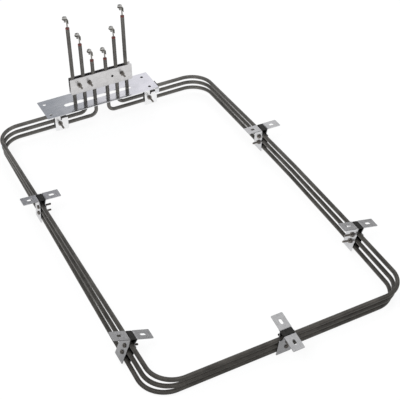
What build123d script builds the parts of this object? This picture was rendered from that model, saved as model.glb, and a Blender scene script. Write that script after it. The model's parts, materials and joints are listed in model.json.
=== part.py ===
"""Tubular heating element: three sheathed loops stacked one above the other, carried by a
slotted mounting plate, a clamp bar across the six legs and five two-part brackets.

Millimetres. The origin is the centre of the mounting plate's four holes, on its top face.
+Z runs up along the legs to the terminals, -Y runs from the plate over the loops, and +X
runs to the right for someone who looks at the plate from the loops.
"""
import os
from math import atan2, cos, hypot, sin, sqrt

from build123d import *

# Heating tubes: centreline sizes of the middle loop
tube_d = 8.0
tube_wall = 0.9
loop_width = 481.5
loop_length = 774.0
loop_pitch = 14.2
corner_r = 48.2
loop_x = 9.8
loop_drop = 30.4

# The loops don't stand square above one another. Each corner of the upper loop is shifted
# by this much against the middle loop, and each corner of the lower loop the other way.
rear_left_lean = -2.2
rear_right_lean = -1.3
front_left_lean = (7.0, -2.2)
front_right_lean = (4.4, -2.9)

# The right side is bowed outwards: the bend's apex, and the share of each half it takes up
side_bow = 8.4
bow_share = 0.45

# Legs
legs_x = 8.6
legs_y = -2.2
leg_gap = 29.6
leg_bend_r = 14.0
leg_top = 178.1
leg_step = 44.5
leg_skew = 4.5

# Cold ends
socket_depth = 24.0
pin_d = 3.0
core_clear = 0.05
seal_d = 8.4
seal_h = 2.9
seal_round = 1.2

# Terminals, with heights counted from the top of the seal
strap_low = 10.1
strap_high = 20.8
strap_t = 0.8
strap_w = 10.5
strap_bend_r = 1.0
pin_top = 18.6
pin_flat = 0.4
terminal_reach = 4.0
terminal_screw_d = 4.1
terminal_screw_l = 9.5
terminal_head_d = 9.4
terminal_head_h = 2.7
terminal_lift = 2.0

# Mounting plate
plate_w = 257.4
plate_d = 69.0
plate_t = 1.2
plate_x = 2.8
plate_y = 0.8
plate_corner_r = 2.0
plate_hole_in_x = 14.2
plate_hole_in_y = 14.0
plate_hole_d = 6.5
plate_slot_clear = 4.3
plate_slot_w = 11.0

# Tab bent down at the right end of the plate's front edge
tab_w = 9.0
tab_drop = 12.5
tab_relief = 1.5
tab_bend_r = 2.4
tab_round = 1.0

# Spring leaf welded under the plate's right end. Its tip stands out past the edge.
spring_w = 13.0
spring_t = 0.8
spring_out = 3.6
spring_tip = 5.0
spring_y = -10.5
spring_bend_r = 1.6
spring_clear = 1.7

# Fasteners
screw_d = 4.1
screw_hole_d = 4.6
head_d = 8.0
head_h = 2.6
head_round = 1.0
nut_af = 8.7
nut_h = 3.2
thread_clear = 0.05
screw_tip = 0.5

# Length of the punches and drills that cut holes: more than any wall is thick
punch = 20.0

# Every clamped plate stays this far from the tubes between its screws
clamp_clear = 0.3

# Clamp bar across the legs, with heights counted from the plate's top face
bar_l = 141.5
bar_shift = 1.65
bar_t = 1.5
bar_low = 24.1
bar_high = 61.4
bar_corner_r = 1.5
bar_end_over = 7.8
bar_hole_up = 1.4
bar_screw_l = 27.0

# Two-part clips that hang the rear run under the plate
clip_w = 28.9
clip_t = 1.2
clip_neck_w = 12.5
clip_notch = 3.0
clip_shoulder = 3.5
clip_foot = 24.8
clip_flange = 8.0
clip_bend_r = 2.4
clip_round = 2.0
clip_screw_in = 10.8
clip_screw_l = 31.0
clip_left_in = 22.7
clip_right_in = 23.7

# Brackets: two angles, one each side of the stack, with heights from the middle tube
bracket_t = 1.2
bracket_w = 22.2
bracket_wing = 6.4
bracket_wing_drop = 1.0
bracket_reach = 37.9
bracket_top = 29.2
bracket_foot = 24.4
bracket_open = 1.8
bracket_bend_r = 2.2
bracket_round = 1.5
bracket_slot_at = 21.9
bracket_slot_l = 11.0
bracket_slot_w = 5.6

# Name, side, place along the side from its middle, which half has the nuts (1 is towards +X
# on the sides and towards the front on the front run), upper and lower screw length
brackets = [
    ("left_rear", "left", 123.4, 1, (25.4, 25.4)),
    ("left_front", "left", -277.9, 1, (25.4, 25.4)),
    ("right_rear", "right", 123.0, -1, (15.9, 25.4)),
    ("right_front", "right", -224.5, -1, (28.6, 28.6)),
    ("front", "front", -0.4, -1, (26.5, 26.5)),
]

# Level 1 is the upper loop with the outer legs, -1 the lower loop with the inner legs
levels = {"upper": 1, "middle": 0, "lower": -1}
LEFT = -1
RIGHT = 1

tube_r = tube_d / 2
core_r = tube_r - tube_wall
grip = tube_r + clamp_clear
mid_y = legs_y - loop_length / 2
plate_left = plate_x - plate_w / 2
plate_right = plate_x + plate_w / 2
plate_front = plate_y - plate_d / 2
clip_left_x = plate_left + clip_left_in
clip_right_x = plate_right - clip_right_in

# The outer right leg stands just inside the clamp bar's end, and the others follow evenly
leg_spread = bar_l / 2 + bar_shift - bar_end_over - tube_r
leg_pitch = (leg_spread - leg_gap / 2) / 2
parts = {}


def leg_x(level, side):
    """Where a loop's leg stands: the lower loop has the inner pair."""
    return legs_x + side * (leg_gap / 2 + (level + 1) * leg_pitch)


def leg_end(level, side):
    """Height of a leg's sheath end above the plate."""
    return leg_top - (1 - level) * leg_step - side * leg_skew / 2


def loop_z(level):
    return level * loop_pitch - loop_drop


def bow_radius():
    """Radius of the right side's gentle bend, for the runs that it joins."""
    run = hypot(loop_length / 2, side_bow)
    return bow_share * run / (side_bow / (loop_length / 2))


def loop_path(level):
    """Centreline of one loop, from the left leg's end round to the right leg's end."""
    z = loop_z(level)
    west = loop_x - loop_width / 2
    east = loop_x + loop_width / 2
    south = legs_y - loop_length
    left_x = leg_x(level, LEFT)
    right_x = leg_x(level, RIGHT)
    bow_x = east + side_bow + level * (rear_right_lean + front_right_lean[0]) / 2
    bow_y = mid_y + level * front_right_lean[1] / 2
    points = [
        (left_x, legs_y, leg_end(level, LEFT)),
        (left_x, legs_y, z),
        (west + level * rear_left_lean, legs_y, z),
        (west + level * front_left_lean[0], south + level * front_left_lean[1], z),
        (east + level * front_right_lean[0], south + level * front_right_lean[1], z),
        (bow_x, bow_y, z),
        (east + level * rear_right_lean, legs_y, z),
        (right_x, legs_y, z),
        (right_x, legs_y, leg_end(level, RIGHT)),
    ]
    radii = [leg_bend_r, corner_r, corner_r, corner_r, bow_radius(), corner_r, leg_bend_r]
    return FilletPolyline(*points, radius=radii)


def heating_loop(level):
    """Sheathed tube with a socket bored in each end for the cold end."""
    path = loop_path(level)
    section = Plane(path @ 0, z_dir=path % 0) * Circle(tube_r)
    tube = sweep(section, path=path)
    expected = section.area * path.length
    print(f"loop {level}: {path.length:.1f} long, sweep over section times length "
          f"{tube.volume / expected:.5f}")
    for side in (LEFT, RIGHT):
        top = leg_end(level, side)
        bore = Cylinder(core_r, socket_depth, align=(Align.CENTER, Align.CENTER, Align.MAX))
        tube -= Pos(leg_x(level, side), legs_y, top) * bore
    return tube


def insulation_plug():
    """Packed ceramic that holds the pin in the sheath's mouth; z = 0 at the sheath's end."""
    down = (Align.CENTER, Align.CENTER, Align.MAX)
    plug = Cylinder(core_r - core_clear, socket_depth, align=down)
    return plug - Cylinder(pin_d / 2 + core_clear, socket_depth, align=down)


def end_seal():
    """Potted seal on the sheath's end, with the pin's hole; z = 0 at the sheath's end."""
    up = (Align.CENTER, Align.CENTER, Align.MIN)
    seal = Cylinder(seal_d / 2, seal_h, align=up)
    seal = fillet(seal.edges().sort_by(Axis.Z)[-1], seal_round)
    return seal - Cylinder(pin_d / 2 + core_clear, seal_h, align=up)


def terminal_pin():
    """Pin from the socket's floor up to the strap, with the flat that the strap lies on."""
    length = socket_depth + seal_h + pin_top
    up = (Align.CENTER, Align.CENTER, Align.MIN)
    pin = Pos(0, 0, -socket_depth) * Cylinder(pin_d / 2, length, align=up)
    flat_h = pin_top - strap_low
    cut = Box(pin_flat, pin_d, flat_h, align=(Align.MAX, Align.CENTER, Align.MIN))
    return pin - Pos(pin_d / 2, 0, seal_h + strap_low) * cut


def folded_sheet(points, bend_r, thickness, width):
    """Bent strip: its outer face follows the points in the XZ plane and the metal lies to
    the right of that line. It's centred on y = 0."""
    outer = FilletPolyline(*points, radius=bend_r)
    outline = offset(outer, amount=thickness, side=Side.RIGHT)
    return extrude(Plane.XZ * make_face(outline), amount=width / 2, both=True)


def terminal_strap():
    """Strap welded to the pin's flat and folded over it, with the binding screw's hole."""
    inner_x = pin_d / 2 - pin_flat
    outer_x = inner_x + strap_t
    low = seal_h + strap_low
    high = seal_h + strap_high
    tip = -terminal_reach - strap_w / 2
    points = [(tip, high), (outer_x, high), (outer_x, low)]
    strap = folded_sheet(points, strap_bend_r + strap_t, strap_t, strap_w)
    corners = [e for e in strap.edges().filter_by(Axis.Z) if abs(e.center().X - tip) < strap_t]
    strap = fillet(corners, strap_w / 2 - strap_t)
    hole = Cylinder(terminal_screw_d / 2 + thread_clear, punch)
    return strap - Pos(-terminal_reach, 0, high - strap_t / 2) * hole


def screw(diameter, length, cap_d, cap_h):
    """Round-headed screw along +Z with the underside of its head at z = 0."""
    shank = Cylinder(diameter / 2, length, align=(Align.CENTER, Align.CENTER, Align.MIN))
    shank = chamfer(shank.edges().sort_by(Axis.Z)[-1], screw_tip)
    cap = Cylinder(cap_d / 2, cap_h, align=(Align.CENTER, Align.CENTER, Align.MAX))
    cap = fillet(cap.edges().sort_by(Axis.Z)[0], head_round)
    return shank + cap


def nut():
    """Hexagon nut with its seat at z = 0."""
    body = extrude(RegularPolygon(nut_af / 2, 6, major_radius=False), amount=nut_h)
    return body - Cylinder(screw_d / 2 + thread_clear, punch)


def terminal_screw():
    """Binding screw backed off the strap, with room for a wire's eye under its head."""
    body = screw(terminal_screw_d, terminal_screw_l, terminal_head_d, terminal_head_h)
    seat = seal_h + strap_high + terminal_lift
    return Pos(-terminal_reach, 0, seat) * Rot(180, 0, 0) * body


def plate_tab():
    """The tab with the strip of plate that it's bent from, and the length of that strip."""
    root = 2 * tab_bend_r
    tab = folded_sheet([(-root, 0), (0, 0), (0, -tab_drop)], tab_bend_r, plate_t, tab_w)
    feet = tab.edges().filter_by(Axis.X).sort_by(Axis.Z)[:2]
    tab = fillet(feet, tab_round)
    frame = Plane(origin=(plate_right - tab_w / 2, plate_front, 0), x_dir=(0, -1, 0),
                  z_dir=(0, 0, 1))
    return frame.location * tab, root


def mounting_plate():
    sheet = RectangleRounded(plate_w, plate_d, plate_corner_r)
    sheet = Pos(plate_x, plate_y) * sheet
    hole_dx = plate_w - 2 * plate_hole_in_x
    hole_dy = plate_d - 2 * plate_hole_in_y
    sheet -= GridLocations(hole_dx, hole_dy, 2, 2) * Circle(plate_hole_d / 2)
    slot_l = 2 * (leg_x(1, RIGHT) + tube_r + plate_slot_clear)
    sheet -= Pos(0, legs_y) * SlotOverall(slot_l, plate_slot_w)
    tab, root = plate_tab()
    room = Rectangle(tab_w + tab_relief, root, align=(Align.MAX, Align.MIN))
    sheet -= Pos(plate_right, plate_front) * room
    return extrude(sheet, amount=-plate_t) + tab


def edge_spring():
    """Leaf along the plate's underside, from beside the right clip's neck to past the edge,
    where its tip turns down."""
    inner_x = clip_right_x + clip_neck_w + spring_clear
    outer_x = plate_right + spring_out
    points = [(inner_x, -plate_t), (outer_x, -plate_t), (outer_x, -plate_t - spring_tip)]
    return Pos(0, spring_y, 0) * folded_sheet(points, spring_bend_r, spring_t, spring_w)


def clamp_screw_places():
    """X of the clamp bar's holes, each midway between two legs of the same side."""
    places = [leg_gap / 2 + (k + 0.5) * leg_pitch for k in (0, 1)]
    return [legs_x + side * place for side in (LEFT, RIGHT) for place in places]


def bar_hole_z():
    return (bar_low + bar_high) / 2 + bar_hole_up


def clamp_bar(side):
    """One of the two flat plates: side is 1 for the one in front of the legs."""
    plate = RectangleRounded(bar_l, bar_high - bar_low, bar_corner_r)
    plate = extrude(Plane.XZ * plate, amount=side * bar_t)
    face_y = legs_y - side * grip
    plate = Pos(legs_x + bar_shift, face_y, (bar_low + bar_high) / 2) * plate
    for x in clamp_screw_places():
        drill = Rot(90, 0, 0) * Cylinder(screw_hole_d / 2, punch)
        plate -= Pos(x, face_y, bar_hole_z()) * drill
    return plate


def clamp_fastened():
    """The three places with a screw: the hole right of the inner right leg stays empty."""
    outer_left, outer_right = legs_x - leg_gap / 2, legs_x + leg_gap / 2
    places = [x for x in clamp_screw_places() if x < outer_left or x > outer_right + leg_pitch]
    return places


def clamp_hardware():
    """Screws from behind, with their nuts on the front plate."""
    reach = grip + bar_t
    screws, nuts = [], []
    for x in clamp_fastened():
        place = Pos(x, legs_y, bar_hole_z()) * Rot(90, 0, 0)
        screws.append(place * Pos(0, 0, -reach) * screw(screw_d, bar_screw_l, head_d, head_h))
        nuts.append(place * Pos(0, 0, reach) * nut())
    return screws, nuts


def clip_half():
    """One half of a rear clip in its own frame: x away from the tubes, y along the run
    from the clip's left edge, z from the plate's top face. The neck runs up to a flange
    that is welded to the underside of the plate."""
    shoulder = clip_shoulder - loop_drop
    foot = -clip_foot - loop_drop
    neck = folded_sheet([(grip, shoulder), (grip, -plate_t), (grip + clip_flange, -plate_t)],
                        clip_bend_r, clip_t, clip_neck_w)
    tongue = Rectangle(clip_w, shoulder - foot, align=(Align.MIN, Align.MIN))
    tongue = fillet(tongue.vertices().sort_by(Axis.Y)[:2], clip_round)
    relief = Rectangle(clip_notch, 2 * clip_notch)
    tongue -= Pos(clip_neck_w + clip_notch / 2, shoulder - foot) * relief
    tongue = extrude(Plane.YZ * tongue, amount=clip_t)
    half = Pos(grip, 0, foot) * tongue + Pos(0, clip_neck_w / 2, 0) * neck
    drill = Rot(0, 90, 0) * Cylinder(screw_hole_d / 2, punch)
    return half - Pos(0, clip_screw_in, -loop_drop - loop_pitch / 2) * drill


def clip_frame(left_edge):
    """Frame of a clip: its x points to the front, its y along the rear run."""
    return Plane(origin=(left_edge, legs_y, 0), x_dir=(0, -1, 0), z_dir=(0, 0, 1)).location


def clip_hardware(left_edge):
    reach = grip + clip_t
    at = Pos(0, clip_screw_in, -loop_drop - loop_pitch / 2) * Rot(0, 90, 0)
    place = clip_frame(left_edge) * at
    fixing = place * Pos(0, 0, -reach) * screw(screw_d, clip_screw_l, head_d, head_h)
    return fixing, place * Pos(0, 0, reach) * nut()


def bracket_half():
    """One angle of a bracket in the bracket's own frame: x away from the stack, y along the
    tubes, z up from the middle tube. Above the tubes it opens a little. The flange has a
    slot, the leg two screw holes and a wing that stands out past one side of the flange."""
    tubes_top = loop_pitch + tube_r
    points = [(grip, -bracket_foot), (grip, tubes_top), (grip + bracket_open, bracket_top),
              (bracket_reach, bracket_top)]
    angle = folded_sheet(points, bracket_bend_r, bracket_t, bracket_w)
    ends = angle.edges().filter_by(Axis.Z).sort_by(Axis.X)[-2:]
    angle = fillet(ends, bracket_round)
    slot = extrude(SlotOverall(bracket_slot_l, bracket_slot_w), amount=punch, both=True)
    angle -= Pos(bracket_slot_at, 0, bracket_top) * slot
    wing = Rectangle(bracket_w / 2 + bracket_wing, bracket_foot + tubes_top - bracket_wing_drop,
                     align=(Align.MAX, Align.MIN))
    wing = extrude(Plane.YZ * wing, amount=bracket_t)
    angle += Pos(grip, 0, -bracket_foot) * wing
    feet = angle.edges().filter_by(Axis.X).sort_by(Axis.Z)[:2]
    angle = fillet(feet, bracket_round)
    for up in (1, -1):
        drill = Rot(0, 90, 0) * Cylinder(screw_hole_d / 2, punch)
        angle -= Pos(0, 0, up * loop_pitch / 2) * drill
    return angle


def right_side(along):
    """How far the bowed right side stands out at a place along it, and its slope there."""
    half = loop_length / 2
    radius = bow_radius()
    if abs(along) > bow_share * half:
        slope = -side_bow / half if along > 0 else side_bow / half
        return side_bow * (1 - abs(along) / half), slope
    apex = side_bow - radius * (hypot(half, side_bow) / half - 1)
    drop = radius - sqrt(radius ** 2 - along ** 2)
    return apex - drop, -along / sqrt(radius ** 2 - along ** 2)


def bracket_frame(side, along):
    """Frame of a bracket: centred on the middle tube, turned with it, and tipped so that
    its z axis runs through all three tubes of the leaning stack."""
    share = 0.5 + along / loop_length
    slope = 0.0
    if side == "left":
        centre = (loop_x - loop_width / 2, mid_y + along)
        lean = rear_left_lean * share + front_left_lean[0] * (1 - share)
    elif side == "right":
        out, slope = right_side(along)
        centre = (loop_x + loop_width / 2 + out, mid_y + along)
        lean = rear_right_lean * share + front_right_lean[0] * (1 - share)
    else:
        share = 0.5 + along / loop_width
        centre = (loop_x + along, legs_y - loop_length)
        lean = -(front_right_lean[1] * share + front_left_lean[1] * (1 - share))
    across = Vector(0, -1, 0) if side == "front" else Vector(1, -slope, 0).normalized()
    roll = atan2(lean, loop_pitch)
    z_dir = across * sin(roll) + Vector(0, 0, 1) * cos(roll)
    x_dir = across * cos(roll) - Vector(0, 0, 1) * sin(roll)
    return Plane(origin=(*centre, -loop_drop), x_dir=x_dir, z_dir=z_dir).location


def bracket_hardware(frame, nut_side, lengths):
    """Two screws between the tubes, with the nuts on the stated half."""
    reach = grip + bracket_t
    screws, nuts = [], []
    for up, length in zip((1, -1), lengths):
        place = frame * Pos(0, 0, up * loop_pitch / 2) * Rot(0, nut_side * 90, 0)
        screws.append(place * Pos(0, 0, -reach) * screw(screw_d, length, head_d, head_h))
        nuts.append(place * Pos(0, 0, reach) * nut())
    return screws, nuts


def add_loops_and_terminals():
    for name, level in levels.items():
        parts[f"heating_loop_{name}"] = heating_loop(level)
    legs = sorted((leg_x(level, side), level, side) for level in levels.values()
                  for side in (LEFT, RIGHT))
    plugs, screws = [], []
    for number, (x, level, side) in enumerate(legs, start=1):
        place = Pos(x, legs_y, leg_end(level, side))
        plugs.append(place * insulation_plug())
        screws.append(place * terminal_screw())
        parts[f"end_seal_{number}"] = place * end_seal()
        parts[f"terminal_pin_{number}"] = place * terminal_pin()
        parts[f"terminal_strap_{number}"] = place * terminal_strap()
    parts["insulation_plugs"] = Compound(children=plugs)
    parts["terminal_screws"] = Compound(children=screws)


def add_plate_and_clamp():
    parts["mounting_plate"] = mounting_plate()
    parts["edge_spring"] = edge_spring()
    parts["clamp_bar_front"] = clamp_bar(1)
    parts["clamp_bar_back"] = clamp_bar(-1)
    screws, nuts = clamp_hardware()
    parts["clamp_screws"] = Compound(children=screws)
    parts["clamp_nuts"] = Compound(children=nuts)


def add_clips():
    front = clip_half()
    back = mirror(front, about=Plane.YZ)
    screws, nuts = [], []
    for name, left_edge in (("left", clip_left_x), ("right", clip_right_x)):
        frame = clip_frame(left_edge)
        parts[f"rear_clip_{name}_front"] = frame * front
        parts[f"rear_clip_{name}_back"] = frame * back
        fixing, its_nut = clip_hardware(left_edge)
        screws.append(fixing)
        nuts.append(its_nut)
    parts["clip_screws"] = Compound(children=screws)
    parts["clip_nuts"] = Compound(children=nuts)


def add_brackets():
    half = bracket_half()
    other = Rot(0, 0, 180) * half
    all_screws, all_nuts = [], []
    for name, side, along, nut_side, lengths in brackets:
        frame = bracket_frame(side, along)
        inner, outer = (half, other) if side == "left" else (other, half)
        parts[f"bracket_{name}_inner"] = frame * inner
        parts[f"bracket_{name}_outer"] = frame * outer
        screws, nuts = bracket_hardware(frame, nut_side, lengths)
        all_screws += screws
        all_nuts += nuts
    parts["bracket_screws"] = Compound(children=all_screws)
    parts["bracket_nuts"] = Compound(children=all_nuts)


def main():
    add_loops_and_terminals()
    add_plate_and_clamp()
    add_clips()
    add_brackets()
    os.makedirs("parts", exist_ok=True)
    for name, shape in parts.items():
        export_step(shape, f"parts/{name}.step")
    print(len(parts), "nodes written")


main()
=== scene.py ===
# %% [markdown]
# # Tubular heating element
# Three nested loops of sheathed heating tube hang under a slotted plate, and their six ends
# stand up through it to screw terminals. This lesson takes the solid model as a fixed frame
# and gives it the surfaces of the real thing: oxidised sheath, smooth galvanised sheet,
# plated brackets, threaded screws and potted seals. Everything is in metres, +Z is up, and
# -Y points from the plate over the loops.

# %% Load the frame
import json
from math import cos, hypot, pi, radians, sin

import bpy
import numpy as np
from mathutils import Matrix, Vector


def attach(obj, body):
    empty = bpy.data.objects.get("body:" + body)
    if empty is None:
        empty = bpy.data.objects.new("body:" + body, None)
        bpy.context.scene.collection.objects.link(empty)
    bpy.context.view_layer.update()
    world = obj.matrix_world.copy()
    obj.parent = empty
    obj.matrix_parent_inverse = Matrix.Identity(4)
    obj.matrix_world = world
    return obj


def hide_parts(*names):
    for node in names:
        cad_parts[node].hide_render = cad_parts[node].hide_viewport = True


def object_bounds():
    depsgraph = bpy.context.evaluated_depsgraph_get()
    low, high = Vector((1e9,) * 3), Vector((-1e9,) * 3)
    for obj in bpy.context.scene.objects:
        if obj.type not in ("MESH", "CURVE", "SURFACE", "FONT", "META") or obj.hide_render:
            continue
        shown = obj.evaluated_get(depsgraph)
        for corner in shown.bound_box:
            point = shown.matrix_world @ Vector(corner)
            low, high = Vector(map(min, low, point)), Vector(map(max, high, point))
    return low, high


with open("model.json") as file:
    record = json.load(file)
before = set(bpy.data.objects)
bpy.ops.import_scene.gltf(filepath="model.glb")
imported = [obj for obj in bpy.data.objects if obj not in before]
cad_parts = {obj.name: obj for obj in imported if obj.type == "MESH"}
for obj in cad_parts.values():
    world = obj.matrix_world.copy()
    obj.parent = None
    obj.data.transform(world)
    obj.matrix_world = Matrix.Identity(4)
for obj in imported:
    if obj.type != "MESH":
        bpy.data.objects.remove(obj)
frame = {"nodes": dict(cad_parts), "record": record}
nodes = frame["nodes"]
cad_box = [list(corner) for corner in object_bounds()]
print(len(nodes), "solid pieces, box", np.round(cad_box, 4).tolist())

# %% [markdown]
# ## Camera
# The photo was taken from the front left, about 40 degrees above the loops, with a long lens.
# The place and turn below were fitted to the tubes, legs and brackets in the picture, so the
# camera needs no shift. A camera looks along its own -Z, so the matrix below has the picture's
# right, its up and the reversed view direction as columns.

# %% Camera
AZIMUTH, ELEVATION, ROLL = radians(26.6916), radians(39.9259), radians(-0.8109)
EYE = Vector((-0.6249, -1.7299, 1.2297))
LENS, SENSOR_WIDTH, FARTHEST = 91.09, 36, 50

ahead = Vector((sin(AZIMUTH) * cos(ELEVATION), cos(AZIMUTH) * cos(ELEVATION), -sin(ELEVATION)))
level = Vector((cos(AZIMUTH), -sin(AZIMUTH), 0))
above = level.cross(ahead)
right = cos(ROLL) * level + sin(ROLL) * above
up = cos(ROLL) * above - sin(ROLL) * level

camera_data = bpy.data.cameras.new("camera")
camera_data.lens = LENS
camera_data.sensor_width = SENSOR_WIDTH
camera_data.clip_end = FARTHEST
camera = bpy.data.objects.new("camera", camera_data)
turn = Matrix((right, up, -ahead)).transposed()
camera.matrix_world = Matrix.Translation(EYE) @ turn.to_4x4()
bpy.context.scene.collection.objects.link(camera)
bpy.context.scene.camera = camera
print("camera at", tuple(round(c, 3) for c in EYE))

# %% [markdown]
# ## Shader helpers
# A Blender shader is a graph: each node has sockets, and links carry colours and numbers from
# one to the next. Building it link by link in Python is long, so a few short helpers do it here.
# Each one adds a node, fills its sockets with numbers or with other nodes' outputs, and returns
# its own output, so that a finish below reads like a formula.

# %% Graph basics
def shader_graph(owner):
    """The owner's node tree, emptied, with a short way to add a node."""
    owner.use_nodes = True
    tree = owner.node_tree
    tree.nodes.clear()

    def add(kind, **settings):
        node = tree.nodes.new(kind)
        for name, value in settings.items():
            if name in node.inputs:
                node.inputs[name].default_value = value
            else:
                setattr(node, name, value)
        return node
    return tree, add


def as_colour(value):
    """A grey or three numbers as an opaque colour."""
    return (*value, 1) if isinstance(value, tuple) else (value, value, value, 1)


def plug(tree, value, socket):
    """Links an output to a socket, or writes a plain number or colour into it."""
    if isinstance(value, bpy.types.NodeSocket):
        tree.links.new(value, socket)
    else:
        socket.default_value = as_colour(value) if socket.type == "RGBA" else value


def close_graph(tree, add, shader, kind="Material"):
    """The shader's output goes to the material's or the world's."""
    plug(tree, shader, add(f"ShaderNodeOutput{kind}").inputs[0])


# %% Fields and mixes
def maths(tree, add, operation, *terms, clamp=False):
    """One step of arithmetic on its terms."""
    node = add("ShaderNodeMath", operation=operation, use_clamp=clamp)
    for term, socket in zip(terms, node.inputs):
        plug(tree, term, socket)
    return node.outputs[0]


def ramp(tree, add, source, low, high, start=0.0, end=1.0):
    """Maps a field from low..high to start..end, clamped."""
    node = add("ShaderNodeMapRange")
    for name, value in (("From Min", low), ("From Max", high), ("To Min", start), ("To Max", end)):
        node.inputs[name].default_value = value
    tree.links.new(source, node.inputs["Value"])
    return node.outputs[0]


def curve_of(tree, add, source, stops):
    """A smooth grey along a field: the stops are pairs of place (0 to 1) and grey or colour."""
    node = add("ShaderNodeValToRGB")
    node.color_ramp.interpolation = "EASE"
    while len(node.color_ramp.elements) < len(stops):
        node.color_ramp.elements.new(0.5)
    for element, (place, grey) in zip(node.color_ramp.elements, stops):
        element.position = place
        element.color = as_colour(grey)
    tree.links.new(source, node.inputs[0])
    return node.outputs[0]


def mixed(tree, add, share, first, second, blend="MIX"):
    """Colour from the first to the second as the share goes from 0 to 1."""
    node = add("ShaderNodeMix", data_type="RGBA", blend_type=blend)
    for place, value in ((0, share), (6, first), (7, second)):
        plug(tree, value, node.inputs[place])
    return node.outputs[2]


def mixed_fields(tree, add, share, first, second):
    """The same for two fields of plain numbers."""
    node = add("ShaderNodeMix", data_type="FLOAT")
    for place, value in ((0, share), (2, first), (3, second)):
        plug(tree, value, node.inputs[place])
    return node.outputs[0]


def mixed_shaders(tree, add, share, first, second):
    """The same for two shaders."""
    node = add("ShaderNodeMixShader")
    for value, socket in zip((share, first.outputs[0], second.outputs[0]), node.inputs):
        plug(tree, value, socket)
    return node.outputs[0]


# %% [markdown]
# ## Studio
# The picture has a plain white ground. Turning the lamps up until the floor burns out would
# flatten the metal, so the world and the floor show plain white only to the camera's own rays
# and to rays through glass. The rays that metal sends back see a light grey ceiling, and a
# floor with a painted shadow: it darkens towards the front left, where the object's own shade
# lies. The floor keeps a share of plain diffuse white, which carries the object's soft shadow.

# %% Who looks
def seen_directly(tree, add):
    """1 for the rays of the camera, of reflections and of glass, 0 for the rest."""
    rays = add("ShaderNodeLightPath").outputs
    sharp = maths(tree, add, "ADD", rays["Is Camera Ray"], rays["Is Glossy Ray"], clamp=True)
    return maths(tree, add, "ADD", sharp, rays["Is Transmission Ray"], clamp=True)


def white_but_to_metal(tree, add, grey):
    """White, but the given grey to reflections."""
    reflected = add("ShaderNodeLightPath").outputs["Is Glossy Ray"]
    return mixed(tree, add, reflected, 1.0, grey)


# %% World
WORLD_FILL, CEILING = 0.75, 0.76

world = bpy.data.worlds.new("studio")
bpy.context.scene.world = world
tree, add = shader_graph(world)
fill = add("ShaderNodeBackground", Color=(0.97, 0.98, 1.0, 1), Strength=WORLD_FILL)
shown = add("ShaderNodeBackground", Strength=1.0)
plug(tree, white_but_to_metal(tree, add, CEILING), shown.inputs["Color"])
both = mixed_shaders(tree, add, seen_directly(tree, add), fill, shown)
close_graph(tree, add, both, "World")
print("world fills with", WORLD_FILL, "and reflects as", CEILING)

# %% Floor
FLOOR_REACH, FLOOR_CLEARANCE = 30.0, 0.0006
FLOOR_GREY, FLOOR_WHITE_SHARE = 0.86, 0.86
# Painted shadow on the floor, seen only in reflections: grey at the front left, white further off
PAINTED_SHADOW_FROM, PAINTED_SHADOW_TO, PAINTED_SHADOW_GREY = -0.84, -0.52, 0.20

floor_z = cad_box[0][2] - FLOOR_CLEARANCE
floor_mesh = bpy.data.meshes.new("floor")
corners = [(x * FLOOR_REACH, y * FLOOR_REACH, floor_z)
           for x, y in ((-1, -1), (1, -1), (1, 1), (-1, 1))]
floor_mesh.from_pydata(corners, [], [(0, 1, 2, 3)])
floor = bpy.data.objects.new("floor", floor_mesh)
bpy.context.scene.collection.objects.link(floor)

paper = bpy.data.materials.new("paper_white")
tree, add = shader_graph(paper)
lit = add("ShaderNodeBsdfDiffuse", Color=as_colour(FLOOR_GREY))
glow = add("ShaderNodeEmission", Strength=1.0)
where = add("ShaderNodeSeparateXYZ")
tree.links.new(add("ShaderNodeTexCoord").outputs["Object"], where.inputs[0])
# The painted shadow runs along 0.5 x + y, so it is darkest at the front left
depth = maths(tree, add, "MULTIPLY_ADD", where.outputs[0], 0.5, where.outputs[1])
painted_shadow = ramp(tree, add, depth, PAINTED_SHADOW_FROM, PAINTED_SHADOW_TO, PAINTED_SHADOW_GREY, 1.0)
plug(tree, white_but_to_metal(tree, add, painted_shadow), glow.inputs["Color"])
share = maths(tree, add, "MULTIPLY", seen_directly(tree, add), FLOOR_WHITE_SHARE)
close_graph(tree, add, mixed_shaders(tree, add, share, lit, glow))
floor_mesh.materials.append(paper)
print("floor at", round(floor_z, 4))


# %% [markdown]
# ## What the metal sees
# Bright sheet metal has hardly any colour of its own: it shows the room. In an all-white room
# the plate and the brackets would vanish against the floor. Photographers stand grey screens
# round polished metal for that reason, so a round screen stands round the object here. Only
# reflections see it, and it glows with its own grey, so the light and dark it puts on the metal
# is painted reflection. Its grey is the product of two curves. Round the object it is dark at the
# back and just left of it, bright in a strip just right of it, and mid-grey elsewhere. Upwards
# it is dark low down, bright at mid height, darkest above that and mid-grey at the top. The
# curves were found by comparing many renders with the picture, from its own angle.

# %% Round screen
SCREEN_RADIUS, SCREEN_HIGH, SCREEN_LOW, SCREEN_SIDES = 3.0, 3.4, 0.02, 96
MIDDLE = (0.0, -0.40, 0.0)


def round_screen(radius, low, high, sides):
    """Open cylinder round the object's middle: the points of each rim are
    middle + radius (sin a, cos a), and each face joins the two rims."""
    angle = np.linspace(0, 2 * pi, sides, endpoint=False)
    a, z = np.meshgrid(angle, (low, high))
    points = np.stack([radius * np.sin(a), MIDDLE[1] + radius * np.cos(a), z], -1).reshape(-1, 3)
    n = np.arange(sides)
    faces = np.stack([n, (n + 1) % sides, (n + 1) % sides + sides, n + sides], -1)
    mesh = bpy.data.meshes.new("studio_screen")
    mesh.from_pydata(points.tolist(), [], faces.tolist())
    return mesh


screen_mesh = round_screen(SCREEN_RADIUS, floor_z + SCREEN_LOW, SCREEN_HIGH, SCREEN_SIDES)
screen = bpy.data.objects.new("studio_screen", screen_mesh)
bpy.context.scene.collection.objects.link(screen)
screen.visible_camera = False
screen.visible_diffuse = False
screen.visible_shadow = False
screen.visible_transmission = False

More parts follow.
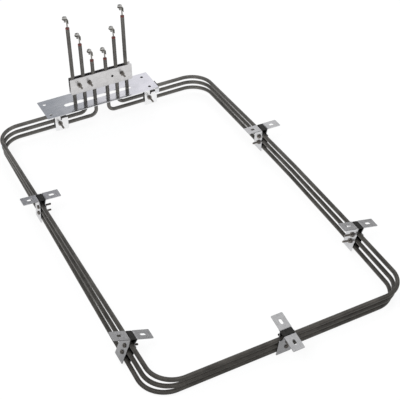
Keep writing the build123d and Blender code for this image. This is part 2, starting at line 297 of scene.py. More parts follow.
# %% Screen greys
# Round the object: 0 at the front, 0.5 at the back (+Y), 0.75 at the right (+X)
AROUND = [(0.0, 0.75), (0.30, 0.60), (0.42, 0.38), (0.537, (0.43, 0.45, 0.48)),
          (0.550, (1.02, 1.01, 1.04)), (0.566, (1.12, 1.10, 1.18)), (0.60, 1.25),
          (0.632, 0.62), (0.665, 0.80), (0.72, 0.70), (1.0, 0.75)]
# Upwards: 0 at the floor, 1 at the screen's top
UPWARD = [(0.0, 0.55), (0.18, 0.32), (0.36, 0.45), (0.48, 1.06), (0.56, 1.06),
          (0.62, 0.45), (0.70, 0.25), (0.82, 0.40), (1.0, 0.75)]

painted_reflection_screen = bpy.data.materials.new("painted_reflection_screen")
tree, add = shader_graph(painted_reflection_screen)
where = add("ShaderNodeSeparateXYZ")
tree.links.new(add("ShaderNodeTexCoord").outputs["Object"], where.inputs[0])
moved = maths(tree, add, "ADD", where.outputs[1], -MIDDLE[1])
bearing = maths(tree, add, "ARCTAN2", where.outputs[0], moved)
around = curve_of(tree, add, ramp(tree, add, bearing, -pi, pi), AROUND)
upward = curve_of(tree, add, ramp(tree, add, where.outputs[2], floor_z, SCREEN_HIGH), UPWARD)
# The screen glows: its emitted grey is painted reflection, brighter than white in the strip right
# of the object
glow = add("ShaderNodeEmission", Strength=1.0)
plug(tree, mixed(tree, add, 1.0, around, upward, "MULTIPLY"), glow.inputs["Color"])
close_graph(tree, add, glow.outputs[0])
screen_mesh.materials.append(painted_reflection_screen)
print("screen", SCREEN_RADIUS, "m round the object")

# %% [markdown]
# ## Lamps
# Three large square panels give soft, faint shadows: the main one from the front left, a second
# from behind and a weak one from the front right. Flat sheet metal would mirror a panel as a
# burnt-out patch, so reflections don't see the lamps, only the screen, floor and ceiling.

# %% Lamps
# Name, place, side of the square in metres, watts
LAMPS = [("lamp_top_left", (-1.5, -1.3, 2.3), 1.5, 52),
         ("lamp_back", (0.9, 1.7, 1.9), 1.4, 26),
         ("lamp_front", (0.8, -2.2, 1.6), 1.2, 12)]

for name, place, size, watts in LAMPS:
    data = bpy.data.lights.new(name, "AREA")
    data.shape = "SQUARE"
    data.size = size
    data.energy = watts
    lamp = bpy.data.objects.new(name, data)
    lamp.location = place
    lamp.rotation_euler = (Vector(MIDDLE) - Vector(place)).to_track_quat("-Z", "Y").to_euler()
    lamp.visible_glossy = False
    bpy.context.scene.collection.objects.link(lamp)
print(len(LAMPS), "lamps over a white floor at", round(floor_z, 4))


# %% [markdown]
# ## Metal finishes
# A plated or rolled metal isn't one grey: it has streaks from rolling or brushing, cloudy
# patches and small scratches, which show mostly as changes of gloss. Each finish below mixes
# two colours by a stretched noise and drives roughness and a very fine bump from the same
# field, on Object coordinates, so the pattern sits still on the piece from every side.

# %% Finish builder
GLOSS_SPREAD = 0.10


def stretched_noise(tree, add, coordinate, stretch, detail=4.0, rough=0.55):
    """Noise whose cells are drawn out along one axis: stretch gives cells per metre."""
    place = add("ShaderNodeMapping")
    place.inputs["Scale"].default_value = stretch
    tree.links.new(coordinate, place.inputs["Vector"])
    noise = add("ShaderNodeTexNoise", Scale=1.0, Detail=detail, Roughness=rough)
    tree.links.new(place.outputs[0], noise.inputs["Vector"])
    return noise.outputs["Fac"]


def surface(tree, add, colour, gloss, height, depth, strength=1.0, **settings):
    """Shader over the fields of colour and roughness, with a bump of depth metres."""
    relief = add("ShaderNodeBump", Strength=strength, Distance=depth)
    tree.links.new(height, relief.inputs["Height"])
    body = add("ShaderNodeBsdfPrincipled", **settings)
    tree.links.new(colour, body.inputs["Base Color"])
    tree.links.new(gloss, body.inputs["Roughness"])
    tree.links.new(relief.outputs[0], body.inputs["Normal"])
    close_graph(tree, add, body.outputs[0])


def metal(name, dark, light, gloss, streak, cloud, bump, metallic=1.0):
    """Metal with streaks (cells per metre along x, y, z) and clouds (cells per metre), and a
    bump in metres."""
    material = bpy.data.materials.new(name)
    tree, add = shader_graph(material)
    spot = add("ShaderNodeTexCoord").outputs["Object"]
    lines = stretched_noise(tree, add, spot, streak, detail=5.0)
    clouds = stretched_noise(tree, add, spot, (cloud, cloud, cloud), detail=3.0, rough=0.6)
    share = ramp(tree, add, mixed_fields(tree, add, 0.45, lines, clouds), 0.32, 0.68)
    colour = mixed(tree, add, share, dark, light)
    low, high = gloss - GLOSS_SPREAD / 2, gloss + GLOSS_SPREAD / 2
    surface(tree, add, colour, ramp(tree, add, lines, 0.3, 0.7, low, high), lines, bump,
            Metallic=metallic)
    return material


def dress(material, *names):
    """The material goes into every slot of the named solids."""
    for name in names:
        for place in nodes[name].material_slots:
            place.material = material


# %% [markdown]
# ## Surfaces worked out with numpy
# Every new piece here is a stack of rings: a tube is a circle carried along a path, a screw is
# a profile turned round an axis, a nut is a hexagon that closes in at both faces. One helper
# takes the rings as an array of points and returns a closed mesh. The faces go round each ring
# without a doubled seam, and a fan closes each end, so the solid has no holes.

# %% Ring skin
CREASE = radians(32)


def skin_faces(count, sides, looped, offset):
    """Corner k of ring i joins corner k of ring i + 1. Each end is closed by a fan to its
    middle, or, where the stack is looped, the last ring joins the first."""
    k = np.arange(sides)
    nxt = (k + 1) % sides
    i = np.arange(count if looped else count - 1)[:, None] * sides
    j = (i + sides) % (count * sides)
    quads = np.stack([i + k, i + nxt, j + nxt, j + k], -1).reshape(-1, 4) + offset
    if looped:
        return quads.tolist()
    first, last = count * sides + offset, count * sides + 1 + offset
    start = np.stack([nxt + offset, k + offset, np.full(sides, first)], -1)
    end = offset + (count - 1) * sides
    stop = np.stack([k + end, nxt + end, np.full(sides, last)], -1)
    return quads.tolist() + start.tolist() + stop.tolist()


def ring_skin(name, stacks, along=None, looped=False, sharp=None):
    """Closed mesh through stacks of rings, each an array (rings, points round, 3). Where the
    lengths along a single stack are given, the attribute lay keeps cos, sin and length."""
    points, faces, offset = [], [], 0
    for rings in stacks:
        count, sides = rings.shape[:2]
        faces += skin_faces(count, sides, looped, offset)
        points.append(rings.reshape(-1, 3))
        if not looped:
            points.append(np.stack([rings[0].mean(0), rings[-1].mean(0)]))
        offset = sum(len(part) for part in points)
    mesh = bpy.data.meshes.new(name)
    mesh.from_pydata(np.concatenate(points).tolist(), [], faces)
    mesh.shade_smooth()
    if sharp is not None:
        mesh.set_sharp_from_angle(angle=sharp)
    if along is not None:
        lengths = np.append(np.repeat(along, sides), [along[0], along[-1]])
        places = np.append(np.tile(np.arange(sides) / sides * 2 * pi, count), [0.0, 0.0])
        values = np.stack([np.cos(places), np.sin(places), lengths], -1)
        field = mesh.attributes.new("lay", "FLOAT_VECTOR", "POINT")
        field.data.foreach_set("vector", values.ravel())
    return mesh


def place_piece(mesh, material, node=None):
    """Puts the mesh into the scene with its finish slot, in place of a solid if one is named."""
    piece = bpy.data.objects.new(mesh.name, mesh)
    bpy.context.scene.collection.objects.link(piece)
    mesh.materials.append(material)
    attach(piece, "root")
    if node:
        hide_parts(node)
    return piece


# %% [markdown]
# ## Sheath
# The sheath is drawn tube, filled with wire and packed powder, then bent cold and fired in an
# oven that leaves a thin dark skin of oxide. The solid model has the shape. What a flat colour
# lacks is the direction of the surface: fine draw lines run along the tube, follow every bend,
# and the oxide is cloudy along its length. So each loop is rebuilt as a ring carried along its
# own path, and each point keeps where it lies round and along the tube for the finish to read.

# %% Loop paths
TUBE_R, SOCKET_R, SOCKET_DEEP = 0.004, 0.0031, 0.024
LOOP_WIDTH, LOOP_LENGTH, LOOP_PITCH, LOOP_DROP = 0.4815, 0.774, 0.0142, 0.0304
CORNER_R, LEG_BEND_R, LOOP_X = 0.0482, 0.014, 0.0098
LEGS_X, LEGS_Y, LEG_GAP, LEG_PITCH = 0.0086, -0.0022, 0.0296, 0.0229
LEG_TOP, LEG_STEP, LEG_SKEW = 0.1781, 0.0445, 0.0045
REAR_LEAN = (-0.0022, -0.0013)
FRONT_LEAN = ((0.0070, -0.0022), (0.0044, -0.0029))
BOW, BOW_SHARE = 0.0084, 0.45


def leg_place(level, side):
    """X and height of a sheath's end: level 1 is the upper loop, side -1 the left."""
    x = LEGS_X + side * (LEG_GAP / 2 + (level + 1) * LEG_PITCH)
    return x, LEG_TOP - (1 - level) * LEG_STEP - side * LEG_SKEW / 2


def loop_corners(level):
    """The path's corner points from the left leg's end to the right leg's, and the radii."""
    z = level * LOOP_PITCH - LOOP_DROP
    west, east = LOOP_X - LOOP_WIDTH / 2, LOOP_X + LOOP_WIDTH / 2
    front = LEGS_Y - LOOP_LENGTH
    (left_x, left_top), (right_x, right_top) = leg_place(level, -1), leg_place(level, 1)
    bow_x = east + BOW + level * (REAR_LEAN[1] + FRONT_LEAN[1][0]) / 2
    bow_y = LEGS_Y - LOOP_LENGTH / 2 + level * FRONT_LEAN[1][1] / 2
    half = LOOP_LENGTH / 2
    bow_r = BOW_SHARE * hypot(half, BOW) * half / BOW
    points = [(left_x, LEGS_Y, left_top), (left_x, LEGS_Y, z),
              (west + level * REAR_LEAN[0], LEGS_Y, z),
              (west + level * FRONT_LEAN[0][0], front + level * FRONT_LEAN[0][1], z),
              (east + level * FRONT_LEAN[1][0], front + level * FRONT_LEAN[1][1], z),
              (bow_x, bow_y, z), (east + level * REAR_LEAN[1], LEGS_Y, z),
              (right_x, LEGS_Y, z), (right_x, LEGS_Y, right_top)]
    return np.array(points), [LEG_BEND_R, CORNER_R, CORNER_R, CORNER_R, bow_r, CORNER_R, LEG_BEND_R]


def bent_line(points, radii, step=radians(5)):
    """Straight runs joined by tangent arcs. At a corner of turning angle a, the arc starts
    r tan(a / 2) before it, and its points are start + r sin(t) ahead + r (1 - cos(t)) inward."""
    line = [points[:1]]
    for here, before, after, r in zip(points[1:-1], points[:-2], points[2:], radii):
        d1 = (here - before) / np.linalg.norm(here - before)
        d2 = (after - here) / np.linalg.norm(after - here)
        turn = np.arccos(np.clip(d1 @ d2, -1, 1))
        inward = d2 - d1 * (d1 @ d2)
        inward /= np.linalg.norm(inward)
        t = np.linspace(0, turn, max(3, int(np.ceil(turn / step)) + 1))[:, None]
        start = here - r * np.tan(turn / 2) * d1
        line.append(start + r * np.sin(t) * d1 + r * (1 - np.cos(t)) * inward)
    return np.concatenate(line + [points[-1:]])


# %% Loops
LAY_STEP = 0.9    # metres that each loop's pattern is slid against the next one's


def directions(line):
    """Unit direction at each point: the mean of the steps before and after it."""
    step = np.diff(line, axis=0)
    step /= np.linalg.norm(step, axis=1)[:, None]
    ahead = np.concatenate([step[:1], step[:-1] + step[1:], step[-1:]])
    return ahead / np.linalg.norm(ahead, axis=1)[:, None]


def sheath(level, sides=32):
    """Ring of the tube's radius carried along the bent line. Its first direction lies level,
    across the path, and its second is the path's direction times the first. Rings of smaller
    radius at both ends run back into the sheath and make the sockets for the cold pins."""
    line = bent_line(*loop_corners(level))
    ahead = directions(line)
    across = np.stack([-ahead[:, 1], ahead[:, 0], np.zeros(len(line))], -1)
    upright = np.hypot(across[:, 0], across[:, 1]) < 1e-6
    across[upright] = (0, -1, 0)
    across /= np.linalg.norm(across, axis=1)[:, None]
    other = np.cross(ahead, across)
    length = np.append(0, np.cumsum(np.linalg.norm(np.diff(line, axis=0), axis=1)))
    radius = np.full(len(line), TUBE_R)

    down = np.array([[0, 0, -SOCKET_DEEP], [0, 0, 0]])
    line = np.concatenate([line[0] + down, line, line[-1] + down[::-1]])
    across = np.concatenate([across[[0, 0]], across, across[[-1, -1]]])
    other = np.concatenate([other[[0, 0]], other, other[[-1, -1]]])
    radius = np.concatenate([[SOCKET_R] * 2, radius, [SOCKET_R] * 2])
    length = np.concatenate([[SOCKET_DEEP, 0], length, [length[-1], length[-1] - SOCKET_DEEP]])
    angle = np.linspace(0, 2 * pi, sides, endpoint=False)[None, :, None]
    rings = line[:, None] + radius[:, None, None] * (
        np.cos(angle) * across[:, None] + np.sin(angle) * other[:, None])
    return ring_skin(f"sheath_level_{level + 2}", [rings], length + LAY_STEP * (level + 2))


# %% [markdown]
# ## Oxide
# The skin of oxide is nearly black, a little brown, and rubbed light along fine lines. In the
# picture it is darkest far from the plate and lighter near it and up the legs. A flat dark
# colour would make plastic of it, so the finish mixes a dark and a light oxide by drawn noise
# and clouds, once for the far and once for the near zone, goes from one to the other towards
# the plate and up the legs, and lays worn lines on top.

# %% Oxide finish
# A darker oxide far from the plate, and a lighter one towards it and up the legs
FAR_OXIDE = ((0.040, 0.038, 0.0345), (0.130, 0.122, 0.110))
NEAR_OXIDE = ((0.075, 0.072, 0.067), (0.210, 0.201, 0.187))
WORN_OXIDE, WORN_SHARE = (0.25, 0.24, 0.222), 0.55
FAR_FROM, NEAR_FROM = -0.65, 0.0    # of y + z, which grows towards the plate and up the legs
OXIDE_RELIEF = 0.00006

oxidised = bpy.data.materials.new("oxidised_sheath")
tree, add = shader_graph(oxidised)
lay = add("ShaderNodeAttribute", attribute_name="lay").outputs["Vector"]
spot = add("ShaderNodeTexCoord").outputs["Object"]
drawn = stretched_noise(tree, add, lay, (7.0, 7.0, 9.0), detail=4.0, rough=0.6)
fine = stretched_noise(tree, add, lay, (22.0, 22.0, 30.0), detail=3.0, rough=0.5)
cloud = stretched_noise(tree, add, spot, (38, 38, 38), detail=4.0, rough=0.62)
mottle = stretched_noise(tree, add, spot, (420, 420, 420), detail=3.0, rough=0.6)

share = ramp(tree, add, mixed_fields(tree, add, 0.5, drawn, cloud), 0.34, 0.66)
where = add("ShaderNodeSeparateXYZ")
tree.links.new(spot, where.inputs[0])
nearness = maths(tree, add, "ADD", where.outputs[1], where.outputs[2])
oxide = mixed(tree, add, ramp(tree, add, nearness, FAR_FROM, NEAR_FROM),
              mixed(tree, add, share, *FAR_OXIDE), mixed(tree, add, share, *NEAR_OXIDE))
rubbed = ramp(tree, add, fine, 0.62, 0.78, 0.0, WORN_SHARE)
surface(tree, add, mixed(tree, add, rubbed, oxide, WORN_OXIDE),
        ramp(tree, add, cloud, 0.3, 0.7, 0.33, 0.47),
        maths(tree, add, "MULTIPLY_ADD", mottle, 0.35, fine), OXIDE_RELIEF, strength=0.7,
        **{"Metallic": 0.7, "Specular IOR Level": 0.42})

for level, name in ((1, "upper"), (0, "middle"), (-1, "lower")):
    loop = place_piece(sheath(level), oxidised, f"heating_loop_{name}")
    print(loop.name, len(loop.data.polygons), "faces")

# %% [markdown]
# ## Screws and nuts
# The brackets, clips and clamp are held by small machine screws and by hexagon nuts whose
# corners are turned off at both faces. Zinc plating and a cross recess are what such screws
# usually have. The solids have them plain, so each one is measured first. On a turned solid
# the faces round the side look evenly all ways, and the flat ends look along the axis, so the
# axis is the odd direction out of the three main ones of the faces' directions. Its own rings
# then go where the plain one was.

# %% Measuring turned solids
def separate_solids(node):
    """Triangles of each solid in a node. Points within a micrometre are one, and each point
    takes the lowest label in its triangles until none changes."""
    mesh = nodes[node].data
    mesh.calc_loop_triangles()
    points = np.empty(len(mesh.vertices) * 3)
    mesh.vertices.foreach_get("co", points)
    corners = np.empty(len(mesh.loop_triangles) * 3, dtype=np.int32)
    mesh.loop_triangles.foreach_get("vertices", corners)
    points = points.reshape(-1, 3)
    _, first, same = np.unique(np.round(points * 1e6).astype(np.int64), axis=0,
                               return_index=True, return_inverse=True)
    points, corners = points[first], same.ravel()[corners].reshape(-1, 3)
    label = np.arange(len(points))
    while True:
        lowest = label[corners].min(1)
        new = label.copy()
        np.minimum.at(new, corners.ravel(), np.repeat(lowest, 3))
        if (new == label).all():
            break
        label = new
    return [points[corners[label[corners[:, 0]] == value]] for value in np.unique(label)]


def axis_of(triangles):
    """Middle and axis of a turned solid, from its faces' areas and directions."""
    a, b, c = triangles.transpose(1, 0, 2)
    looks = np.cross(b - a, c - a) / 2
    area = np.linalg.norm(looks, axis=1)
    kept = area > 1e-14
    looks, area = looks[kept], area[kept]
    middle = ((a + b + c)[kept] / 3 * area[:, None]).sum(0) / area.sum()
    share, ways = np.linalg.eigh((looks[:, :, None] * looks[:, None] / area[:, None, None]).sum(0))
    odd = 2 if share[2] - share[1] > share[1] - share[0] else 0
    return middle, ways[:, odd]


def turned_places(node, screws=True):
    """For each turned solid its seat, three directions and length. On a screw the third
    direction runs from the seat under the head to the tip, on a nut from one face to the
    other, and the first direction points to the farthest corner."""
    places = []
    for triangles in separate_solids(node):
        middle, axis = axis_of(triangles)
        spread = triangles.reshape(-1, 3) - middle
        t = spread @ axis
        out = spread - t[:, None] * axis
        r = np.linalg.norm(out, axis=1)
        wide = r > 0.97 * r.max()
        if screws and t[wide].mean() > 0:
            axis, t = -axis, -t
        low = t[wide].max() if screws else t.min()
        x = out[r.argmax()] / r.max()
        ways = np.stack([x, np.cross(axis, x), axis])
        places.append((middle + low * axis, ways, t.max() - low))
    return places


# %% Screw rings
PITCH, SHANK_R, THREAD_DEEP = 0.0008, 0.00205, 0.00036
CROSS_HEAD, BINDING_HEAD = (0.004, 0.0026), (0.0047, 0.0027)    # radius and height


def ease(x):
    """0 below 0, 1 above 1, and a smooth S between."""
    x = np.clip(x, 0, 1)
    return x * x * (3 - 2 * x)


def turned(r, z, sides):
    """Rings of the radii r at the heights z, either one value a ring or one a point."""
    angle = np.linspace(0, 2 * pi, sides, endpoint=False)
    r, z = (np.broadcast_to(row, (len(row), sides)) for row in (r, z))
    return np.stack([r * np.cos(angle), r * np.sin(angle), z], -1)


def head_rings(head_r, head_h, slotted, sides=96):
    """Domed head turned round Z with its seat at z = 0. Its recess is a depth over the plane:
    one bar for a slot, the deeper of two crossed bars for a cross, with eased walls."""
    out = head_r * np.linspace(0.03, 0.76, 20)[:, None]
    angle = np.linspace(0, 2 * pi, sides, endpoint=False)
    x, y = abs(out * np.cos(angle)), abs(out * np.sin(angle))
    soft = head_r * 0.04
    arm, wide = head_r * (0.64 if slotted else 0.50), head_r * 0.12
    press = ease((wide - y) / soft + 0.5) * ease((arm - x) / soft + 0.5)
    if not slotted:
        press = np.maximum(press, ease((wide - x) / soft + 0.5) * ease((arm - y) / soft + 0.5))
    recess = head_h * (0.46 if slotted else 0.56 - 0.5 * out / head_r)
    top = -head_h * (1 - 0.14 * (out / out[-1]) ** 2) + press * recess
    q = np.linspace(0, pi / 2, 6)[1:, None]
    edge_r = out[-1] + (head_r - out[-1]) * np.sin(q)
    edge_z = -head_h * (0.42 + 0.44 * np.cos(q))
    waist = np.array([[head_r, -0.0003]])
    under = np.array([[head_r - 0.0002, -0.00005], [head_r - 0.0004, 0], [head_r / 3, 0]])
    rest = np.concatenate([np.concatenate([edge_r, edge_z], 1), waist, under])
    top_r = np.broadcast_to(out, (len(out), sides))
    return turned(np.concatenate([top_r, np.repeat(rest[:, :1], sides, 1)]),
                  np.concatenate([top, np.repeat(rest[:, 1:], sides, 1)]), sides)


def shank_rings(length, shank_r, thread_from, sides=36):
    """Plain neck and thread. The radius falls from crest to root as a triangle wave of
    z / pitch - angle / turn, which is a right-hand helix, and runs out at both ends."""
    angle = np.linspace(0, 2 * pi, sides, endpoint=False)
    z = np.arange(thread_from + PITCH / 6, length - 1e-5, PITCH / 6)[:, None]
    wave = abs(2 * ((z / PITCH - angle / (2 * pi)) % 1) - 1)
    fade = ease((z - thread_from) / PITCH) * ease((length - z) / (0.8 * PITCH))
    crest = np.minimum(shank_r, shank_r - 0.0005 + (length - z))
    thread = crest - THREAD_DEEP * wave * fade
    neck, tip = np.full((2, sides), shank_r), np.full((1, sides), shank_r - 0.0005)
    heights = np.concatenate([[[-0.0004], [thread_from]], z, [[length]]])
    return turned(np.concatenate([neck, thread, tip]), heights, sides)


def screw_rings(length, head, thread_from, slotted=False):
    """Head and shank as two closed stacks, the shank's neck let into the head."""
    return [head_rings(*head, slotted), shank_rings(length, SHANK_R, thread_from)]


def nut_rings(height, across_flats=0.0087, bore_r=0.0021, per_side=6):
    """Hexagon with its first corner on +X. Its radius is half the flats over the cosine of
    the angle from the nearest flat's middle, and a cone cuts the corners at both faces."""
    angle = np.linspace(0, 2 * pi, 6 * per_side, endpoint=False)
    off_flat = (angle % (pi / 3)) - pi / 6
    hexagon = across_flats / 2 / np.cos(off_flat)
    lift = np.array([0, 0.12, 0.25, 0.40]) * 1e-3
    cone = (across_flats / 2 - 0.0001 + 1.73 * lift)[:, None]
    low = np.minimum(hexagon, cone)
    bore = np.full((1, len(angle)), bore_r)
    eased = bore + 0.0002
    r = np.concatenate([bore, eased, low, low[::-1], eased, bore])
    z = np.concatenate([[0.0002, 0], lift, height - lift[::-1], [height, height - 0.0002]])
    return [turned(r, z[:, None], len(angle))]


def put_all(name, rings_of, places, looped=False):
    """One mesh with a copy of the rings at each place: point = seat + x, y, z along its
    three directions."""
    stacks = [seat + rings @ ways for seat, ways, size in places for rings in rings_of(size)]
    return ring_skin(name, stacks, looped=looped, sharp=CREASE)


# %% Screws and nuts
zinc = metal("zinc_screws", (0.15, 0.137, 0.125), (0.31, 0.288, 0.265), 0.32,
             (700, 700, 700), 190, 0.00001)
GRIP = {"clamp": 0.0116, "clip": 0.0110, "bracket": 0.0110}
THREAD_EARLY = 0.0006    # the thread starts this far before the grip ends
for kind, grip in GRIP.items():
    screws = turned_places(f"{kind}_screws")
    mesh = put_all(f"cross_screws_{kind}",
                   lambda size: screw_rings(size, CROSS_HEAD, grip - THREAD_EARLY), screws)
    place_piece(mesh, zinc, f"{kind}_screws")
    nuts = put_all(f"hexagon_nuts_{kind}", nut_rings, turned_places(f"{kind}_nuts", False),
                   looped=True)
    place_piece(nuts, zinc, f"{kind}_nuts")
    print(kind, len(screws), "screws of", sorted({round(size * 1000, 1) for *_, size in screws}),
          "mm,", len(mesh.polygons) + len(nuts.polygons), "faces")

# %% [markdown]
# ## Dark small parts, painted shade
# Three kinds of dark spots show in the picture, too small to be read, so what they are is a
# guess. They lie where holes and gaps hold only shade, so the dark parts made for them are
# painted shade in the shape of parts. Those in the plate's right holes are made as spring nuts
# under it, each with a cup pressed up into its hole. The one in the clamp bar's spare hole is a
# blind rivet nut, in the shaded gap between the bar's two plates. The ones in the brackets are
# strips bent over the upper tube, between the legs of the two angles, filling their shaded
# gap. All are surfaces of the same kind as above: a sheet over a round grid, a turned
# profile, and a flat section carried along a bent line.

# %% Spring nuts, painted shade
def shade_spring_nut_rings(half_x=0.0065, half_y=0.0054, thick=0.0008, arch=0.0006, cup_high=0.0010):
    """Sheet between a small hole and a rounded rectangle, whose radius at each angle is
    (|cos / a|^8 + |sin / b|^8) to the power -1/8. Its wings are arched down by
    arch (1 - (x / a)^2), and its middle is a round cup that stands up."""
    angle = np.linspace(0, 2 * pi, 48, endpoint=False)
    edge = (abs(np.cos(angle) / half_x) ** 8 + abs(np.sin(angle) / half_y) ** 8) ** -0.125
    cup_r = np.array([0.0006, 0.0025, 0.0029, 0.0031])[:, None] + 0 * angle
    share = np.array([0.04, 0.35, 0.7, 1.0])[:, None]
    r = np.concatenate([cup_r, cup_r[-1] + share * (edge - cup_r[-1])])
    x, y = r * np.cos(angle), r * np.sin(angle)
    sag = -arch * (1 - (x / half_x) ** 2)
    sag[:3] = cup_high * np.array([[1.0], [1.0], [0.75]])
    under = np.stack([x, y, sag - thick], -1)
    over = np.stack([x, y, sag], -1)
    return np.concatenate([under, over[::-1]])


# Black finish: the edge spring's own colour, and painted shade on the dark parts in holes and gaps
black_and_painted_shade = metal("black_spring_and_painted_shade", (0.014, 0.014, 0.013), (0.035, 0.034, 0.032), 0.42,
                  (300, 300, 300), 200, 0.00002, metallic=0.6)
# Dark spring nuts put in the right holes, which show only shade: painted shade
SHADE_SPRING_SEATS = [np.array([0.1145, y, -0.00126]) for y in (-0.0205, 0.0205)]
painted_shade_spring_nuts = ring_skin("painted_shade_spring_nuts", [seat + shade_spring_nut_rings() for seat in SHADE_SPRING_SEATS],
                        looped=True, sharp=CREASE)
place_piece(painted_shade_spring_nuts, black_and_painted_shade)
print(len(SHADE_SPRING_SEATS), "spring nuts under the plate's right holes")

# %% Rivet nut, painted shade
# Its profile is turned round Z, in millimetres, and the three ways lay Z along -Y
# A dark nut in the spare hole, where the gap between the bar's plates is in shade: painted shade
SHADE_RIVET_SEAT = np.array([0.03485, -0.0080, 0.04415])
SHADE_RIVET_WAYS = np.array([(1, 0, 0), (0, 0, 1), (0, -1, 0)])
SHADE_RIVET_PROFILE = 1e-3 * np.array([(0.1, -4.4), (1.4, -4.4), (1.5, -4.2), (1.5, 0.25), (1.75, 0.45),
                                 (2.5, 0.45), (2.75, 0.25), (2.75, 0), (2.15, 0), (2.15, -5.0),
                                 (1.9, -5.2), (0.1, -5.2)])
rivet = turned(SHADE_RIVET_PROFILE[:, :1], SHADE_RIVET_PROFILE[:, 1:], 48)
rivet = ring_skin("painted_shade_rivet_nut", [SHADE_RIVET_SEAT + rivet @ SHADE_RIVET_WAYS], sharp=CREASE)
place_piece(rivet, black_and_painted_shade)
print("rivet nut in the clamp bar,", len(rivet.polygons), "faces")

# %% Saddle strips, painted shade
# Dark strips over the upper tube, filling the shaded gap between each bracket's angles: painted
# shade
LEG_GRIP, LEG_OPENS, FLANGE_UP = 0.0043, 0.0018, 0.0292
SHADE_SADDLE_T, SHADE_SADDLE_W, SHADE_SADDLE_EASE = 0.0010, 0.0220, 0.00015
SHADE_SADDLE_CLEAR, SHADE_SADDLE_SUNK, SHADE_SADDLE_FOOT = 0.00008, 0.0003, 0.0025
SHADE_SADDLE_BENDS = [0.004, 0.0012, 0.0012, 0.004]


def strip_rings(line, side):
    """Flat section with eased edges, carried along a bent line in the plane square to side."""
    face = np.cross(directions(line), side)
    a, b, e = SHADE_SADDLE_W / 2, SHADE_SADDLE_T / 2, SHADE_SADDLE_EASE
    corners = np.array([(a, b - e), (a - e, b), (e - a, b), (-a, b - e),
                        (-a, e - b), (e - a, -b), (a - e, -b), (a, e - b)])
    return (line[:, None] + corners[None, :, :1] * side
            + corners[None, :, 1:] * face[:, None])


def shade_saddle_line(lean):
    """Middle line of a strip in a bracket's frame, x across and z up from the flanges' top:
    up from one shoulder of the upper tube, out with the leg, level, and down again."""
    knee, top = LOOP_PITCH + TUBE_R - FLANGE_UP, -SHADE_SADDLE_SUNK - SHADE_SADDLE_T / 2
    low = LOOP_PITCH / lean - FLANGE_UP + SHADE_SADDLE_FOOT
    x0 = LEG_GRIP - SHADE_SADDLE_CLEAR - SHADE_SADDLE_T / 2
    x1 = x0 + LEG_OPENS * (top - knee) / (FLANGE_UP - LOOP_PITCH - TUBE_R)
    half = [(x0, 0, low), (x0, 0, knee), (x1, 0, top)]
    points = np.array(half + [(-x, y, z) for x, y, z in half[::-1]])
    return bent_line(points, SHADE_SADDLE_BENDS, radians(12))


# Each bracket gets one dark strip of painted shade in its gap
shade_saddles = []
for mount in frame["record"]["mounts"]:
    if not mount["name"].startswith("bracket"):
        continue
    up_way = np.array(mount["axis"]) / np.linalg.norm(mount["axis"])
    run = np.array((1.0, 0, 0) if mount["name"] == "bracket_front_slots" else (0, 1.0, 0))
    run -= up_way * (run @ up_way)
    run /= np.linalg.norm(run)
    ways = np.stack([np.cross(run, up_way), run, up_way])
    shade_saddles.append(strip_rings(shade_saddle_line(up_way[2]) @ ways + np.array(mount["pos_m"]), run))
place_piece(ring_skin("painted_shade_saddles", shade_saddles, sharp=CREASE), black_and_painted_shade)
print(len(shade_saddles), "saddle strips in the brackets")

# %% [markdown]
# ## Terminals
# Each leg ends in a strap folded over its pin, with a large-headed screw that grips a wire's
# ring or fork. They are taken as nickel plated, because nickel hardly oxidises in the warmth
# there. In the picture the screws look bright and the straps and pins dull. The screws' rings
# are the same turned head and shank as above, with a slot in place of the cross.

# %% Binding screws
BINDING_NECK = 0.0008
nickel = metal("nickel_plate", (0.58, 0.57, 0.54), (0.80, 0.79, 0.76), 0.34,
               (500, 500, 500), 220, 0.00001)
dull_nickel = metal("dull_nickel", (0.22, 0.21, 0.195), (0.40, 0.39, 0.365), 0.34,
                    (500, 500, 120), 220, 0.00001)
binding = put_all("binding_screws",
                  lambda size: screw_rings(size, BINDING_HEAD, BINDING_NECK, slotted=True),
                  turned_places("terminal_screws"))
place_piece(binding, nickel, "terminal_screws")
print("six binding screws,", len(binding.polygons), "faces")

# %% [markdown]
# ## Sheet metal
# The plate is galvanised sheet with rolling streaks along its length. The clamp bar, the clips
# and the brackets are pressed from plated strip, each a little different in grey and in the way
# its streaks run. Their solids already have the right shape, and thin sheet shows only in how
# it reflects, so they keep their meshes and only get a finish.

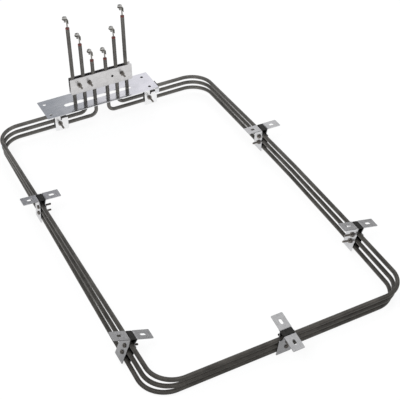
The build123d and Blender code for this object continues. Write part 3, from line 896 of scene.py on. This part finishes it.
# %% Sheet metal finishes
galvanised = metal("galvanised_sheet", (0.60, 0.61, 0.635), (0.84, 0.84, 0.855), 0.19,
                   (30, 240, 240), 28, 0.000015)
clamp_plate = metal("clamp_plate", (0.54, 0.53, 0.53), (0.76, 0.75, 0.75), 0.34,
                    (60, 60, 900), 60, 0.00002)
clip_plate = metal("clip_plate", (0.86, 0.86, 0.87), (0.96, 0.96, 0.96), 0.34,
                   (400, 400, 90), 90, 0.00002)
bracket_plate = metal("bracket_plate", (0.48, 0.48, 0.49), (0.70, 0.70, 0.71), 0.27,
                      (500, 120, 500), 45, 0.00002)

dress(galvanised, "mounting_plate")
dress(black_and_painted_shade, "edge_spring")
dress(clamp_plate, "clamp_bar_front", "clamp_bar_back")
dress(clip_plate, *[name for name in nodes if name.startswith("rear_clip")])
dress(bracket_plate, *[name for name in nodes
                       if name.startswith("bracket") and name.endswith("er")])
dress(dull_nickel, *[f"terminal_strap_{n}" for n in range(1, 7)],
      *[f"terminal_pin_{n}" for n in range(1, 7)])
print("sheet metal, straps and pins dressed")

# %% [markdown]
# ## Seals and packing
# A bead of dark red resin closes each sheath against damp, and a plug of packed ceramic below
# it holds the pin in the middle. Both are matt and slightly uneven. One finish builder serves
# both: a mottle gives the colour, the gloss and a fine grain.

# %% Potted seals and packed ceramic
def potting(name, dark, light, gloss, grain):
    """Moulded resin or ceramic: slightly mottled, with a fine grain in its surface."""
    material = bpy.data.materials.new(name)
    tree, add = shader_graph(material)
    spot = add("ShaderNodeTexCoord").outputs["Object"]
    mottle = stretched_noise(tree, add, spot, (500, 500, 300), detail=4.0)
    colour = mixed(tree, add, ramp(tree, add, mottle, 0.3, 0.7), dark, light)
    uneven = ramp(tree, add, mottle, 0.3, 0.7, gloss - 0.06, gloss + 0.06)
    surface(tree, add, colour, uneven, mottle, grain)
    return material


red_potting = potting("red_potting", (0.070, 0.021, 0.018), (0.15, 0.042, 0.036), 0.5, 0.00008)
ceramic = potting("packed_ceramic", (0.60, 0.58, 0.52), (0.76, 0.74, 0.69), 0.8, 0.0001)
dress(red_potting, *[f"end_seal_{n}" for n in range(1, 7)])
dress(ceramic, "insulation_plugs")
print("every solid has its finish")

# %% [markdown]
# ## Finish
# The view layer is updated and the Standard view transform is set.

# %% Final settings
bpy.context.view_layer.update()
bpy.context.scene.view_settings.view_transform = "Standard"
